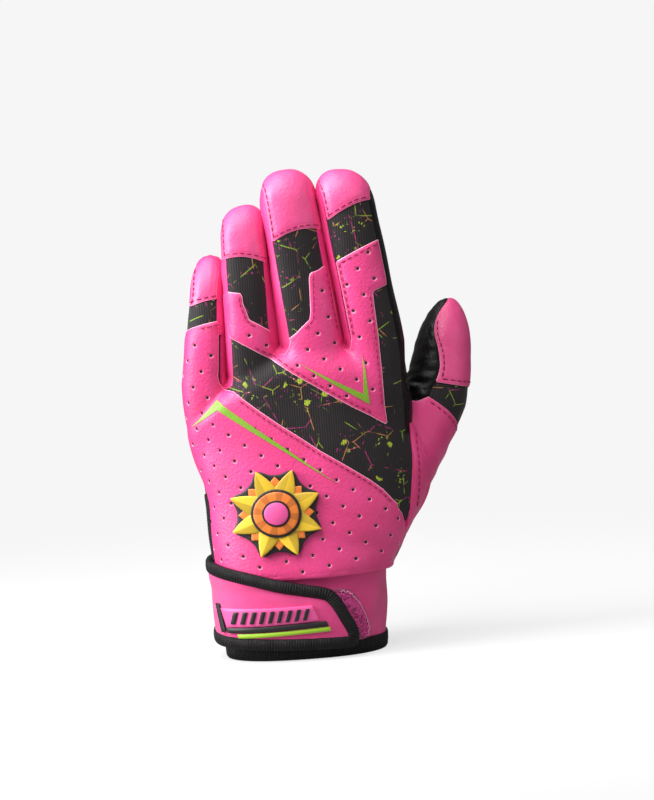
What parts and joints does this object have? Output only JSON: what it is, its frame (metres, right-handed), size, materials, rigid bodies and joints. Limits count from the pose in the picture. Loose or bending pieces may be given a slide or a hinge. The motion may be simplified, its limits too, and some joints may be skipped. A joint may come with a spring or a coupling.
{
  "type": "batting glove",
  "caption": "Left-hand batting glove with perforated leather back, printed stretch panels, flexing finger and thumb tips, and a hook-and-loop wrist strap.",
  "frame": {"origin": "middle of the footprint of the whole glove, level with the bottom of the hem", "axes": "+Z from the hem to the fingertips, -Y out of the back of the hand, +X towards the thumb"},
  "size_m": [0.1282, 0.065, 0.2137],
  "materials": {
    "perforated_leather": "pebbled grain, perforated",
    "smooth_leather": "smooth, soft sheen",
    "stretch_print": "stretch knit with a bright line print",
    "palm_leather": "black pebbled leather",
    "neoprene": "soft knit-faced neoprene",
    "ribbed_binding": "ribbed black edge tape",
    "hook_loop": "napped hook and loop",
    "rubber_pink": "moulded, satin",
    "rubber_black": "moulded, satin",
    "rubber_lime": "moulded, satin",
    "rubber_yellow": "moulded, satin",
    "rubber_orange": "moulded, satin"
  },
  "bodies": {
    "hand": {"palm_panel": "palm_leather", "back_lower_panel": "perforated_leather", "back_upper_panel": "perforated_leather", "back_stretch_panel": "stretch_print", "index_middle_fourchette": "smooth_leather", "middle_ring_fourchette": "smooth_leather", "ring_little_fourchette": "smooth_leather", "index_stretch_band": "stretch_print", "middle_stretch_panel": "stretch_print", "ring_stretch_panel": "stretch_print", "little_stretch_band": "stretch_print", "thumb_stretch_band": "stretch_print", "thumb_back_panel": "perforated_leather", "thumb_gusset": "perforated_leather", "thumb_front_panel": "palm_leather", "cuff_band": "neoprene", "hem_binding": "ribbed_binding", "vent_binding": "ribbed_binding", "cuff_loop_patch": "hook_loop", "strap_anchor": "ribbed_binding", "badge_base": "rubber_black", "badge_rays": "rubber_yellow", "badge_disc": "rubber_orange", "badge_core": "rubber_pink"},
    "strap": {"strap_body": "neoprene", "strap_binding": "ribbed_binding", "strap_plate": "rubber_pink", "strap_dark_rail": "rubber_black", "strap_lime_rail": "rubber_lime", "strap_hook_patch": "hook_loop"},
    "thumb_tip": {"thumb_tip_panel": "smooth_leather", "thumb_tip_front": "palm_leather"},
    "index_tip": {"index_tip_panel": "smooth_leather", "index_tip_front": "palm_leather", "index_tip_fourchette": "smooth_leather"},
    "middle_tip": {"middle_tip_panel": "smooth_leather", "middle_tip_front": "palm_leather", "middle_tip_fourchette": "smooth_leather"},
    "ring_tip": {"ring_tip_panel": "smooth_leather", "ring_tip_front": "palm_leather", "ring_tip_fourchette": "smooth_leather"},
    "little_tip": {"little_tip_panel": "smooth_leather", "little_tip_front": "palm_leather", "little_tip_fourchette": "smooth_leather"}
  },
  "joints": [
    {"name": "index_flex", "type": "hinge", "parent": "hand", "child": "index_tip", "pos_m": [0.0158, 0.00853, 0.18581], "axis": [-0.9914, 0, -0.1305], "range_deg": [0, 75], "stiffness_Nm_per_rad": 0.03, "deforming": ["index_stretch_band"]},
    {"name": "middle_flex", "type": "hinge", "parent": "hand", "child": "middle_tip", "pos_m": [-0.00868, 0.00781, 0.17728], "axis": [-0.9914, -0.0798, -0.1042], "range_deg": [0, 75], "stiffness_Nm_per_rad": 0.03, "deforming": ["middle_stretch_panel"]},
    {"name": "ring_flex", "type": "hinge", "parent": "hand", "child": "ring_tip", "pos_m": [-0.03235, 0.00862, 0.16875], "axis": [-0.9982, -0.0599, 0], "range_deg": [0, 75], "stiffness_Nm_per_rad": 0.03, "deforming": ["ring_stretch_panel"]},
    {"name": "little_flex", "type": "hinge", "parent": "hand", "child": "little_tip", "pos_m": [-0.0509, 0.01159, 0.15382], "axis": [-0.9874, 0.1191, 0.1038], "range_deg": [0, 70], "stiffness_Nm_per_rad": 0.03, "deforming": ["little_stretch_band"]},
    {"name": "thumb_flex", "type": "hinge", "parent": "hand", "child": "thumb_tip", "pos_m": [0.03484, 0.01755, 0.11245], "axis": [0, -0.971, 0.239], "range_deg": [0, 45], "stiffness_Nm_per_rad": 0.03, "deforming": ["thumb_stretch_band"]},
    {"name": "strap_open", "type": "hinge", "parent": "hand", "child": "strap", "pos_m": [-0.04395, 0.02396, 0.027], "axis": [0, 0, -1], "range_deg": [0, 110]}
  ]
}
